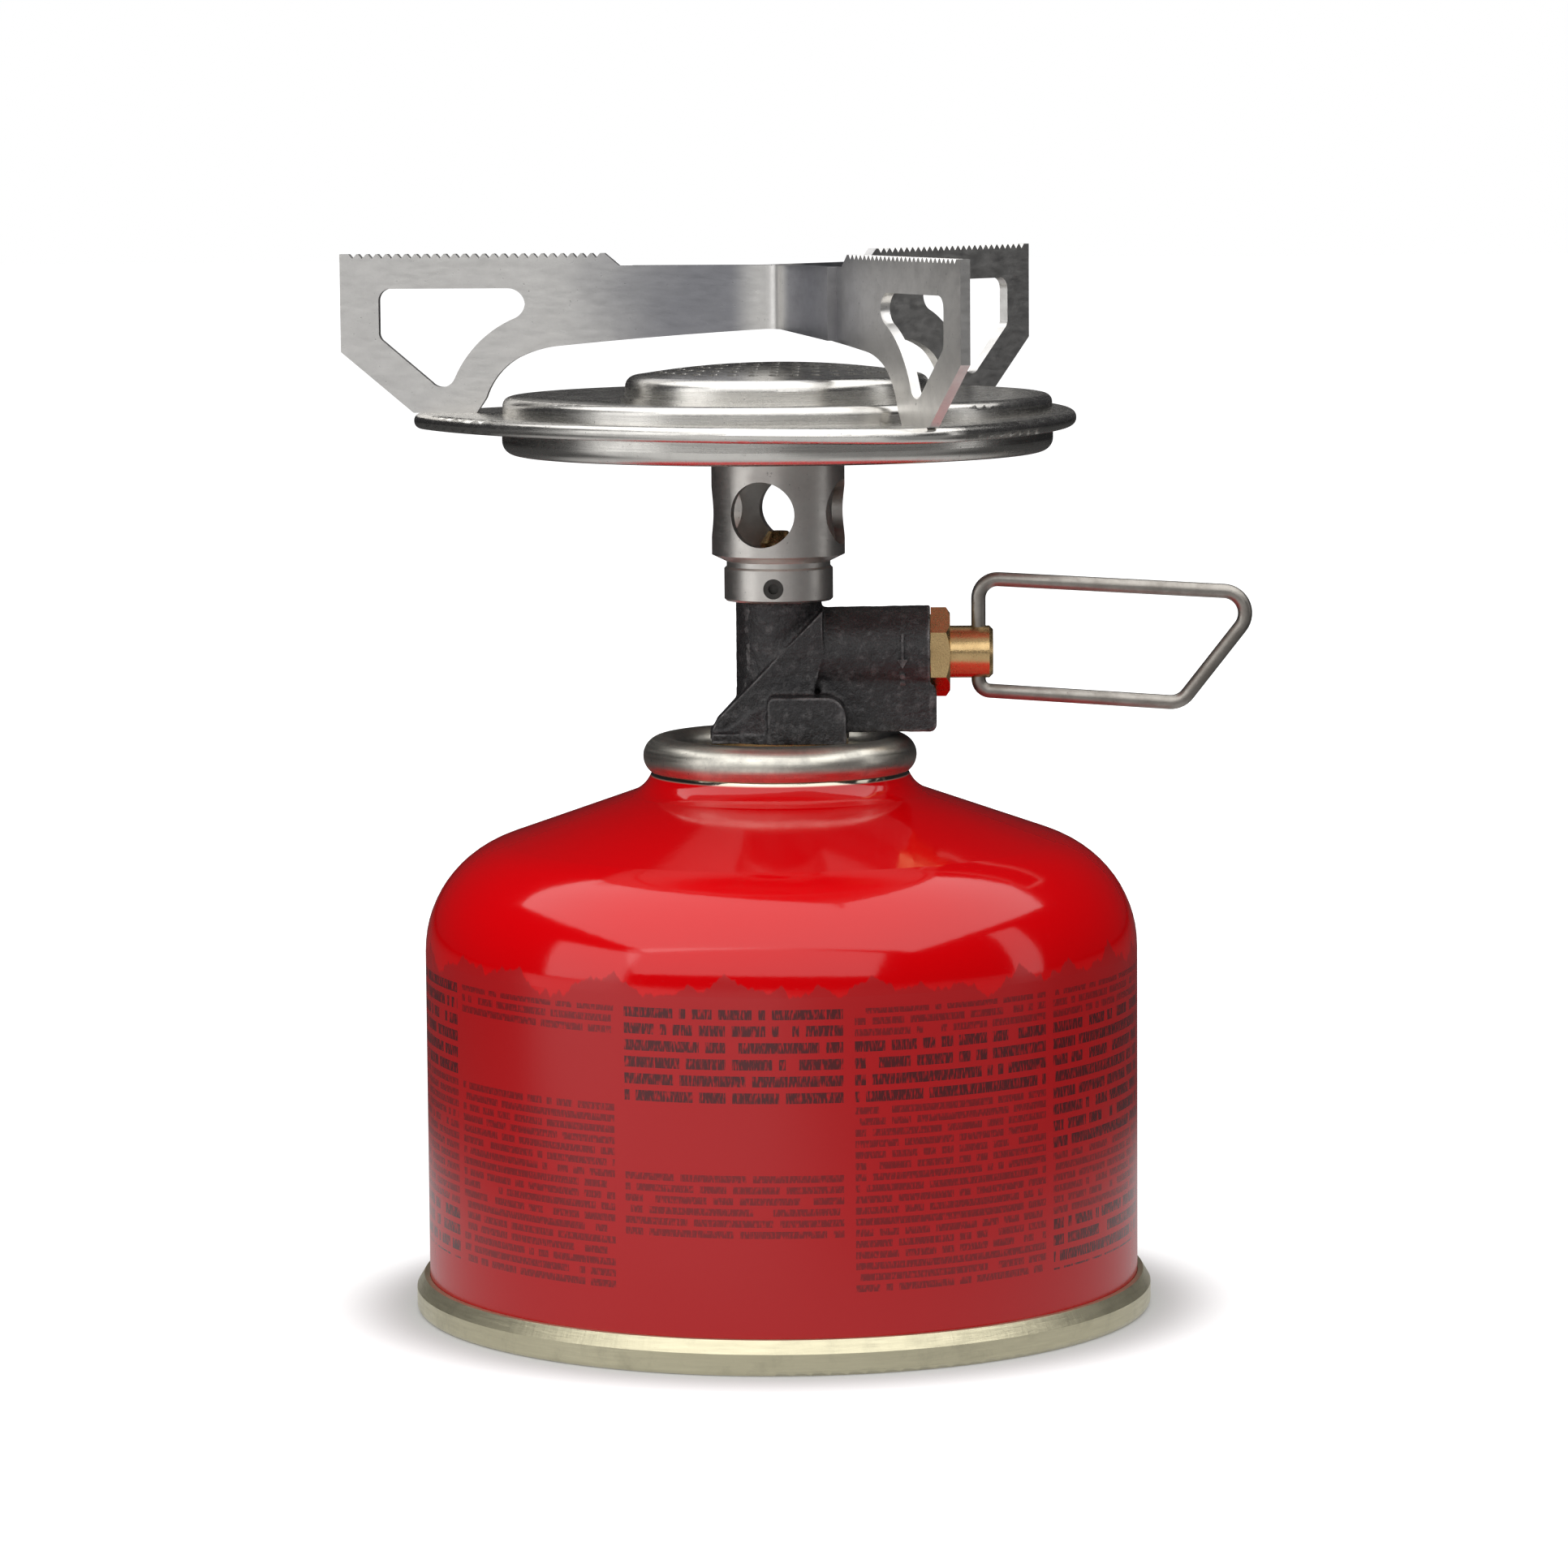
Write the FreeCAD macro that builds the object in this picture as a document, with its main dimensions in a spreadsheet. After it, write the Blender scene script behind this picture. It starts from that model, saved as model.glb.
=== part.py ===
"""Screw-on gas camping stove standing on its 100 g gas canister.

Frame: millimetres, +Z up, origin at the centre of the ring that the canister
stands on.  +X is the side of the valve spindle and its wire handle.
"""
import FreeCAD
import Part
import Sketcher

import math
import os
import re

Vector = FreeCAD.Vector

# ---------------------------------------------------------------- driving dimensions
DIMENSIONS = {
    # gas canister
    "body_radius": 43.4, "sheet_wall": 0.5, "body_foot": 0.9,
    "shoulder_start": 43.9, "shoulder_round": 14.1,
    "shoulder_end_radius": 33.98, "shoulder_end_height": 57.23,
    "cone_top_radius": 18.25, "cone_top_height": 62.82,
    "cone_wall_inward": 0.17, "cone_wall_down": 0.47,
    "neck_round": 4.4, "neck_radius": 15.4, "neck_top": 66.3,
    "seam_radius": 45.0, "seam_height": 4.1, "seam_facet_start": 2.6,
    "seam_facet_depth": 0.9, "seam_round": 0.6, "seam_inner_radius": 41.9,
    "seam_floor": 0.85, "seam_gap": 0.05,
    "dome_edge_height": 4.9, "dome_top_height": 11.0,
    # mounting cup: rolled collar, recess, threaded boss
    "curl_centre_radius": 14.25, "curl_centre_height": 67.4, "curl_radius": 2.4,
    "curl_sheet": 0.45, "curl_end_angle": 48.0, "bead_radius": 1.7,
    "cup_floor": 61.9, "boss_radius": 5.45, "boss_top": 69.3, "boss_mouth": 1.9,
    "gasket_gap": 0.02, "gasket_end_angle": 10.0,
    # canister valve inside the boss
    "housing_radius": 4.9, "housing_bottom": 58.5, "housing_floor": 59.5,
    "housing_bore": 3.2, "housing_inlet": 1.0,
    "stem_gasket_bottom": 67.6, "stem_gasket_bore": 1.5,
    "poppet_radius": 2.6, "poppet_bottom": 66.4, "poppet_stem": 1.4,
    "poppet_top": 68.6, "poppet_guide": 1.0, "poppet_guide_bottom": 63.0,
    "spring_coil": 2.1, "spring_wire": 0.5, "spring_turns": 4.0, "spring_faces": 16,
    # brass inlet adapter with its pin, filter and seal
    "adapter_bottom": 63.6, "adapter_sleeve": 7.2, "adapter_bore": 5.53,
    "adapter_ceiling": 69.6, "adapter_flange": 8.3, "adapter_flange_bottom": 68.2,
    "adapter_land": 5.7, "adapter_land_top": 72.6, "adapter_stub": 4.25,
    "adapter_stub_top": 75.0, "adapter_pin_bore": 1.1, "adapter_edge": 0.4,
    "seal_groove_inner": 2.6, "seal_groove_outer": 4.45, "seal_groove_top": 71.05,
    "inlet_seal_radius": 3.5, "inlet_seal_wire": 0.8, "inlet_seal_height": 70.22,
    "pin_radius": 0.8, "pin_bottom": 68.75, "pin_head": 1.5, "pin_head_height": 0.5,
    "filter_radius": 2.15, "filter_seat": 73.0, "filter_bottom": 73.6,
    "fit_gap": 0.05,
    # black cast valve body
    "skirt_radius": 8.5, "skirt_bottom": 69.4, "skirt_top": 70.6,
    "barrel_radius": 5.25, "barrel_foot": 74.5, "barrel_top": 86.15,
    "spigot_radius": 4.9, "spigot_top": 89.4,
    "gusset_front": 5.6, "gusset_top_reach": 5.4, "gusset_top": 85.35,
    "gusset_low_reach": 7.6, "gusset_low": 72.05, "foot_reach": 8.1,
    "foot_top": 70.75, "arm_start": 3.0,
    "side_barrel_radius": 5.7, "side_barrel_root": 5.5, "side_barrel_end": 18.35,
    "web_start": 7.4, "web_end": 19.1, "web_bottom": 70.45, "web_half_width": 4.7,
    "web_round": 0.9, "boss_left": 1.3, "boss_right": 8.2, "boss_height": 75.1,
    "boss_front": 8.7, "boss_round": 2.4, "boss_left_round": 0.8,
    "toe_front": 7.2, "toe_width": 3.4, "toe_height": 70.6,
    "plenum_top": 75.5, "passage_radius": 0.75, "passage_offset": 3.5,
    "seat_bore": 0.9, "needle_chamber": 1.9, "needle_chamber_start": 2.7,
    "outlet_bore": 0.9, "jet_socket": 2.0,
    "thread_bore_start": 4.6, "thread_bore_end": 8.6, "collar_chamber": 4.0,
    "nut_bore_start": 12.5,
    # valve spindle, its seal and gland nut, axis along X
    "spindle_height": 79.8, "spindle_radius": 3.17, "spindle_end": 25.96,
    "spindle_chamfer": 0.45, "spindle_neck_start": 12.6, "spindle_collar": 3.9,
    "spindle_collar_start": 11.6, "spindle_thread": 2.93, "spindle_thread_start": 6.0,
    "needle_base": 1.4, "needle_tip": 0.35, "needle_start": 1.4, "running_gap": 0.05,
    "spindle_groove_start": 15.4, "spindle_groove_end": 16.8, "spindle_groove": 2.3,
    "spindle_seal_radius": 2.76, "spindle_seal_wire": 0.42,
    "nut_across_flats": 9.4, "nut_start": 18.4, "nut_end": 20.75, "nut_shank": 4.55,
    "nut_shank_start": 14.6, "nut_chamfer": 0.5,
    "handle_hole": 0.94, "handle_hole_place": 24.2,
    # wire handle
    "wire_radius": 0.875, "wire_upper_stop": 80.35, "wire_lower_stop": 79.25,
    "wire_rise": 88.72, "wire_rise_round": 2.3, "wire_far_reach": 59.1,
    "wire_far_height": 86.7, "wire_far_round": 2.7, "wire_low_reach": 48.7,
    "wire_low_height": 73.42, "wire_low_round": 2.6, "wire_drop": 75.1,
    "wire_drop_round": 1.45,
    # jet and mixing tube
    "jet_hex_radius": 3.1, "jet_hex_top": 91.4, "jet_nose": 2.2, "jet_cone_start": 93.2,
    "jet_top": 94.6, "jet_tip": 1.2, "jet_orifice": 0.25, "jet_bore": 0.8,
    "jet_bore_top": 93.6,
    "collar_radius": 6.6, "collar_bottom": 86.25, "collar_top": 90.4,
    "collar_edge": 0.25, "tube_neck": 6.3, "tube_neck_top": 91.0,
    "tube_radius": 8.07, "tube_bottom": 91.85, "tube_top": 104.2, "tube_bore": 6.9,
    "tube_bore_bottom": 92.4, "collar_bore_top": 91.2,
    "tube_spigot": 7.0, "tube_spigot_top": 105.7, "air_hole": 3.95,
    "air_hole_height": 97.0, "air_hole_turn": -14.0,
    "grub_radius": 1.2, "grub_height": 88.0, "grub_turn": -94.3, "grub_length": 1.55,
    "grub_socket": 0.62, "grub_socket_depth": 0.9, "grub_recess": 0.1,
    # burner
    "pan_radius": 33.3, "pan_bottom": 104.2, "pan_top": 107.15, "pan_sheet": 0.8,
    "pan_round": 1.6, "flange_top": 109.0, "flange_bore": 30.0, "flange_edge": 0.88,
    "lobe_reach": 44.5, "lobe_round": 12.0, "flange_side_reach": 36.0,
    "shell_radius": 33.2, "shell_top": 111.1, "shell_round": 1.0, "shell_sheet": 0.7,
    "shell_rim": 31.6, "shell_dish_radius": 19.4, "shell_dish_height": 110.4,
    "shell_bore": 17.0,
    "cap_foot_radius": 18.9, "cap_foot_top": 111.05, "cap_radius": 18.4,
    "cap_wall_top": 112.2, "cap_round": 1.4, "cap_top": 115.0,
    "cap_sheet": 0.6, "cap_hole": 0.62, "cap_hole_pitch": 2.4, "cap_hole_rings": 6,
    "screen_radius": 16.5, "screen_height": 112.1, "screen_sheet": 0.35,
    # pot supports, bent from flat strip
    "strip": 1.2, "bend_inner": 2.2, "neck_level": 126.75, "neck_under": 119.05,
    "arm_reach": 54.2, "arm_top": 128.25, "tooth_pitch": 1.2, "tooth_depth": 0.55,
    "tooth_count": 26, "tooth_flat": 0.22, "tooth_first": 22.6,
    "ramp_start": 19.8, "ramp_end": 21.6, "arm_corner": 116.4,
    "heel_reach": 45.3, "toe_reach": 37.5, "instep_reach": 36.3, "instep_height": 110.8,
    "arch_reach": 32.3, "arch_height": 115.65, "arch_round": 8.5,
    "vault_reach": 27.0, "vault_height": 117.1, "vault_round": 15.0, "neck_curve": 600.0,
    "window_top": 124.05, "window_outer": 49.45, "window_outer_round": 1.45,
    "window_knee_height": 118.6, "window_knee_reach": 49.0, "window_knee_low": 117.75,
    "window_knee_round": 1.3, "window_foot_reach": 43.0, "window_foot_height": 112.7,
    "window_foot_round": 1.7, "window_heel_reach": 40.2, "window_heel_height": 113.1,
    "window_arch_reach": 32.6, "window_arch_height": 120.5, "window_arch_round": 14.0,
    "window_tip_reach": 31.4, "window_tip_height": 122.2, "window_tip_round": 2.1,
    "tab_reach": 16.7, "tab_under": 118.1, "hub_inset": 0.85,
}
ARM_AZIMUTHS = {"left": 173.7, "front": 293.7, "rear": 53.7}

document = FreeCAD.newDocument("camping_stove")
sheet = document.addObject("Spreadsheet::Sheet", "Dims")
for row, (alias, value) in enumerate(DIMENSIONS.items(), start=1):
    sheet.set(f"A{row}", alias)
    sheet.set(f"B{row}", str(value))
    sheet.setAlias(f"B{row}", alias)
document.recompute()

sub_parts = []


def size(text):
    """Expression text with every alias written as a reference to the sheet."""
    return re.sub(r"[a-z_]+", lambda word: "Dims." + word.group(0)
                  if word.group(0) in DIMENSIONS else word.group(0), text)


def number(text):
    """Present value of an expression, in plain millimetres or degrees."""
    value = sheet.evalExpression(size(text))
    return float(getattr(value, "Value", value))


# ---------------------------------------------------------------- sketch helpers
def new_body(name):
    """A PartDesign body whose label is its file and node name."""
    body = document.addObject("PartDesign::Body", name)
    body.Label = name
    sub_parts.append(body)
    return body


def new_sketch(body, plane, shift=(0, 0, 0), turn=0.0):
    """A sketch on one of the body's own origin planes.

    shift is along the sketch's own axes and turn is about its vertical axis.
    """
    sketch = body.newObject("Sketcher::SketchObject", body.Name + "_sketch")
    face = [item for item in body.Origin.OriginFeatures if item.Role == plane][0]
    sketch.AttachmentSupport = [(face, "")]
    sketch.MapMode = "FlatFace"
    sketch.AttachmentOffset = FreeCAD.Placement(
        Vector(*shift), FreeCAD.Rotation(Vector(0, 1, 0), turn))
    return sketch


def arc_between(start, end, radius, counter_clockwise):
    """The shorter arc of this radius from start to end."""
    chord = end - start
    side = Vector(-chord.y, chord.x, 0).normalize()
    rise = math.sqrt(max(radius ** 2 - chord.Length ** 2 / 4, 0.0))
    centre = (start + end) / 2 + side * (rise if counter_clockwise else -rise)
    first, last = (start, end) if counter_clockwise else (end, start)
    angles = [math.atan2(point.y - centre.y, point.x - centre.x) for point in (first, last)]
    if angles[1] <= angles[0]:
        angles[1] += 2 * math.pi
    return Part.ArcOfCircle(Part.Circle(centre, Vector(0, 0, 1), radius), *angles)


def dome_radius(start, end):
    """Radius of the arc that joins a rim to its crown on the vertical axis."""
    rim = max(start.x, end.x)
    rise = abs(start.y - end.y)
    return (rim ** 2 + rise ** 2) / (2 * rise)


def pin_down(sketch, geometry, point, texts):
    """Bind one sketch point's coordinates to the sheet."""
    for kind, axis, text in (("DistanceX", -2, texts[0]), ("DistanceY", -1, texts[1])):
        if text == "0":
            sketch.addConstraint(Sketcher.Constraint("PointOnObject", geometry, point, axis))
            continue
        index = sketch.addConstraint(Sketcher.Constraint(kind, geometry, point, number(text)))
        sketch.setExpression(f"Constraints[{index}]", size(text))


def draw(sketch, corners):
    """A closed outline. A corner is (x, y), or (x, y, "left" or "right", radius)
    when the edge from it to the next corner is an arc that turns that way. The
    radius "domed" means that the arc's centre lies on the vertical axis."""
    points = [Vector(number(corner[0]), number(corner[1]), 0) for corner in corners]
    ends = []
    for index, corner in enumerate(corners):
        start, end = points[index], points[(index + 1) % len(points)]
        if len(corner) == 2:
            geometry = sketch.addGeometry(Part.LineSegment(start, end))
            ends.append((geometry, 1, 2))
            continue
        left = corner[2] == "left"
        radius = dome_radius(start, end) if corner[3] == "domed" else number(corner[3])
        arc = arc_between(start, end, radius, left)
        geometry = sketch.addGeometry(arc)
        ends.append((geometry, 1, 2) if left else (geometry, 2, 1))
    for index, corner in enumerate(corners):
        geometry, first, _ = ends[index]
        before, _, last = ends[index - 1]
        sketch.addConstraint(Sketcher.Constraint("Coincident", before, last, geometry, first))
        pin_down(sketch, geometry, first, corner[:2])
        if corner[-1] == "domed":
            sketch.addConstraint(Sketcher.Constraint("PointOnObject", geometry, 3, -2))
        elif len(corner) == 4:
            index = sketch.addConstraint(
                Sketcher.Constraint("Radius", geometry, number(corner[3])))
            sketch.setExpression(f"Constraints[{index}]", size(corner[3]))
    return sketch


def draw_circle(sketch, centre, radius):
    """A circle whose centre and radius are bound to the sheet."""
    middle = Vector(number(centre[0]), number(centre[1]), 0)
    geometry = sketch.addGeometry(Part.Circle(middle, Vector(0, 0, 1), number(radius)))
    pin_down(sketch, geometry, 3, centre)
    index = sketch.addConstraint(Sketcher.Constraint("Radius", geometry, number(radius)))
    sketch.setExpression(f"Constraints[{index}]", size(radius))
    return sketch


def turn_solid(body, corners, axis="V_Axis", shift=(0, 0, 0), cut=False):
    """Revolve an outline drawn on the XZ plane about one of its axes."""
    sketch = draw(new_sketch(body, "XZ_Plane", shift), corners)
    kind = "PartDesign::Groove" if cut else "PartDesign::Revolution"
    feature = body.newObject(kind, body.Name + "_turned")
    feature.Profile = sketch
    feature.ReferenceAxis = (sketch, [axis])
    feature.Angle = 360
    document.recompute()
    return feature


def pad(body, sketch, length, both_sides=False, reverse=False):
    """Extrude a sketch by a length bound to the sheet."""
    feature = body.newObject("PartDesign::Pad", body.Name + "_pad")
    feature.Profile = sketch
    feature.setExpression("Length", size(length))
    feature.SideType = "Symmetric" if both_sides else "One side"
    feature.Reversed = reverse
    document.recompute()
    return feature


def pocket(body, sketch, length, both_sides=False, reverse=False):
    """Cut a sketch to a depth bound to the sheet, and make sure that it cut."""
    before = body.Shape.Volume
    feature = body.newObject("PartDesign::Pocket", body.Name + "_pocket")
    feature.Profile = sketch
    feature.setExpression("Length", size(length))
    feature.SideType = "Symmetric" if both_sides else "One side"
    feature.Reversed = reverse
    document.recompute()
    if feature.Shape.Volume >= before:
        raise RuntimeError(f"{body.Label}: a pocket removed nothing")
    return feature


def repeat_around(body, feature, count):
    """Repeat a feature evenly about the body's Z axis."""
    pattern = body.newObject("PartDesign::PolarPattern", body.Name + "_ring")
    pattern.Originals = [feature]
    axis = [item for item in body.Origin.OriginFeatures if item.Role == "Z_Axis"][0]
    pattern.Axis = (axis, [""])
    pattern.Angle = 360
    pattern.Occurrences = count
    body.Tip = pattern
    document.recompute()
    return pattern


def turned_part(name, corners):
    """A sub-part turned about the vertical axis."""
    body = new_body(name)
    turn_solid(body, corners)
    return body


def ring(name, radius, wire, centre_height):
    """A round-section ring about the vertical axis, as a torus bound to the sheet."""
    torus = document.addObject("Part::Torus", name)
    torus.Label = name
    torus.setExpression("Radius1", size(radius))
    torus.setExpression("Radius2", size(wire))
    torus.setExpression("Placement.Base.z", size(centre_height))
    sub_parts.append(torus)
    return torus


def set_shape(name, shape):
    """A sub-part whose shape is worked out in code from the sheet's values."""
    feature = document.addObject("Part::Feature", name)
    feature.Label = name
    feature.Shape = shape
    sub_parts.append(feature)
    return feature


# ---------------------------------------------------------------- gas canister
def make_canister():
    """Drawn steel shell, domed end and the seam that joins them."""
    turned_part("canister_shell", [
        ("body_radius", "body_foot"),
        ("body_radius", "shoulder_start", "left", "shoulder_round"),
        ("shoulder_end_radius", "shoulder_end_height"),
        ("cone_top_radius", "cone_top_height", "right", "neck_round"),
        ("neck_radius", "neck_top"),
        ("curl_centre_radius + bead_radius * cos(gasket_end_angle)",
         "curl_centre_height - bead_radius * sin(gasket_end_angle)", "left", "bead_radius"),
        ("curl_centre_radius", "curl_centre_height + bead_radius", "left", "bead_radius"),
        ("curl_centre_radius - bead_radius * cos(gasket_end_angle)",
         "curl_centre_height - bead_radius * sin(gasket_end_angle)"),
        ("neck_radius - sheet_wall", "neck_top", "left", "neck_round + sheet_wall"),
        ("cone_top_radius - cone_wall_inward", "cone_top_height - cone_wall_down"),
        ("shoulder_end_radius - cone_wall_inward", "shoulder_end_height - cone_wall_down",
         "right", "shoulder_round - sheet_wall"),
        ("body_radius - sheet_wall", "shoulder_start"),
        ("body_radius - sheet_wall", "body_foot"),
    ])
    turned_part("canister_end", [
        ("body_radius - sheet_wall", "body_foot"),
        ("body_radius - sheet_wall", "dome_edge_height", "left", "domed"),
        ("0", "dome_top_height"),
        ("0", "dome_top_height - sheet_wall", "right", "domed"),
        ("body_radius - 2 * sheet_wall", "dome_edge_height - sheet_wall"),
        ("body_radius - 2 * sheet_wall", "body_foot"),
    ])
    turned_part("canister_seam", [
        ("seam_inner_radius", "0"),
        ("seam_radius - seam_round", "0", "left", "seam_round"),
        ("seam_radius", "seam_round"),
        ("seam_radius", "seam_facet_start"),
        ("seam_radius - seam_facet_depth", "seam_height"),
        ("body_radius + seam_gap", "seam_height"),
        ("body_radius + seam_gap", "seam_floor"),
        ("body_radius - 2 * sheet_wall - seam_gap", "seam_floor"),
        ("body_radius - 2 * sheet_wall - seam_gap", "seam_height - sheet_wall"),
        ("seam_inner_radius", "seam_height - sheet_wall"),
    ])


def make_mounting_cup():
    """Rolled collar, recess and threaded boss in one pressing, and its gasket."""
    inner = "(curl_radius - curl_sheet)"
    turned_part("mounting_cup", [
        ("curl_centre_radius + curl_radius * cos(curl_end_angle)",
         "curl_centre_height - curl_radius * sin(curl_end_angle)", "left", "curl_radius"),
        ("curl_centre_radius", "curl_centre_height + curl_radius", "left", "curl_radius"),
        ("curl_centre_radius - curl_radius", "curl_centre_height"),
        ("curl_centre_radius - curl_radius", "cup_floor + curl_sheet"),
        ("boss_radius", "cup_floor + curl_sheet"),
        ("boss_radius", "boss_top"),
        ("boss_mouth", "boss_top"),
        ("boss_mouth", "boss_top - curl_sheet"),
        ("boss_radius - curl_sheet", "boss_top - curl_sheet"),
        ("boss_radius - curl_sheet", "cup_floor"),
        ("curl_centre_radius - curl_radius + curl_sheet", "cup_floor"),
        ("curl_centre_radius - curl_radius + curl_sheet", "curl_centre_height",
         "right", inner),
        ("curl_centre_radius", f"curl_centre_height + {inner}", "right", inner),
        (f"curl_centre_radius + {inner} * cos(curl_end_angle)",
         f"curl_centre_height - {inner} * sin(curl_end_angle)"),
    ])
    low = f"({inner} - gasket_gap)"
    high = "(bead_radius + gasket_gap)"
    turned_part("cup_gasket", [
        (f"curl_centre_radius + {low} * cos(gasket_end_angle)",
         f"curl_centre_height + {low} * sin(gasket_end_angle)", "left", low),
        (f"curl_centre_radius - {low} * cos(gasket_end_angle)",
         f"curl_centre_height + {low} * sin(gasket_end_angle)"),
        (f"curl_centre_radius - {high} * cos(gasket_end_angle)",
         f"curl_centre_height + {high} * sin(gasket_end_angle)", "right", high),
        (f"curl_centre_radius + {high} * cos(gasket_end_angle)",
         f"curl_centre_height + {high} * sin(gasket_end_angle)"),
    ])


def make_canister_valve():
    """Sprung poppet valve in the boss: housing, gasket, poppet and spring."""
    turned_part("valve_housing", [
        ("housing_inlet", "housing_bottom"),
        ("housing_radius", "housing_bottom"),
        ("housing_radius", "stem_gasket_bottom"),
        ("housing_bore", "stem_gasket_bottom"),
        ("housing_bore", "housing_floor"),
        ("housing_inlet", "housing_floor"),
    ])
    turned_part("stem_gasket", [
        ("stem_gasket_bore", "stem_gasket_bottom"),
        ("housing_radius", "stem_gasket_bottom"),
        ("housing_radius", "boss_top - curl_sheet"),
        ("stem_gasket_bore", "boss_top - curl_sheet"),
    ])
    turned_part("canister_poppet", [
        ("0", "poppet_guide_bottom"),
        ("poppet_guide", "poppet_guide_bottom"),
        ("poppet_guide", "poppet_bottom"),
        ("poppet_radius", "poppet_bottom"),
        ("poppet_radius", "stem_gasket_bottom - fit_gap"),
        ("poppet_stem", "stem_gasket_bottom - fit_gap"),
        ("poppet_stem", "poppet_top"),
        ("0", "poppet_top"),
    ])
    wire = number("spring_wire") / 2
    bottom = number("housing_floor") + wire + number("fit_gap")
    height = number("poppet_bottom") - number("fit_gap") - wire - bottom
    coil = number("spring_coil")
    helix = Part.makeHelix(height / number("spring_turns"), height, coil)
    # a round section in several arcs, so that every face of the coil stays narrow
    arc = 360 / number("spring_faces")
    section = Part.Wire([
        Part.makeCircle(wire, Vector(coil, 0, 0), Vector(0, 1, 0), i * arc, (i + 1) * arc)
        for i in range(int(number("spring_faces")))])
    spring = Part.Wire(helix).makePipeShell([section], True, True)
    spring.translate(Vector(0, 0, bottom))
    set_shape("valve_spring", spring)


# ---------------------------------------------------------------- stove: inlet
def make_inlet():
    """Brass adapter that screws over the boss, with its pin, filter and O-ring."""
    turned_part("inlet_adapter", [
        ("adapter_bore", "adapter_bottom"),
        ("adapter_sleeve - adapter_edge", "adapter_bottom"),
        ("adapter_sleeve", "adapter_bottom + adapter_edge"),
        ("adapter_sleeve", "adapter_flange_bottom"),
        ("adapter_flange - adapter_edge", "adapter_flange_bottom"),
        ("adapter_flange", "adapter_flange_bottom + adapter_edge"),
        ("adapter_flange", "skirt_bottom"),
        ("adapter_land", "skirt_bottom"),
        ("adapter_land", "adapter_land_top"),
        ("adapter_stub", "adapter_land_top"),
        ("adapter_stub", "adapter_stub_top"),
        ("filter_radius + fit_gap", "adapter_stub_top"),
        ("filter_radius + fit_gap", "filter_seat"),
        ("adapter_pin_bore", "filter_seat"),
        ("adapter_pin_bore", "adapter_ceiling"),
        ("seal_groove_inner", "adapter_ceiling"),
        ("seal_groove_inner", "seal_groove_top"),
        ("seal_groove_outer", "seal_groove_top"),
        ("seal_groove_outer", "adapter_ceiling"),
        ("adapter_bore", "adapter_ceiling"),
    ])
    turned_part("inlet_pin", [
        ("0", "pin_bottom"),
        ("pin_radius", "pin_bottom"),
        ("pin_radius", "filter_seat"),
        ("pin_head", "filter_seat"),
        ("pin_head", "filter_seat + pin_head_height"),
        ("0", "filter_seat + pin_head_height"),
    ])
    turned_part("inlet_filter", [
        ("0", "filter_bottom"),
        ("filter_radius", "filter_bottom"),
        ("filter_radius", "adapter_stub_top - fit_gap"),
        ("0", "adapter_stub_top - fit_gap"),
    ])
    ring("inlet_seal_ring", "inlet_seal_radius", "inlet_seal_wire", "inlet_seal_height")


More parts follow.
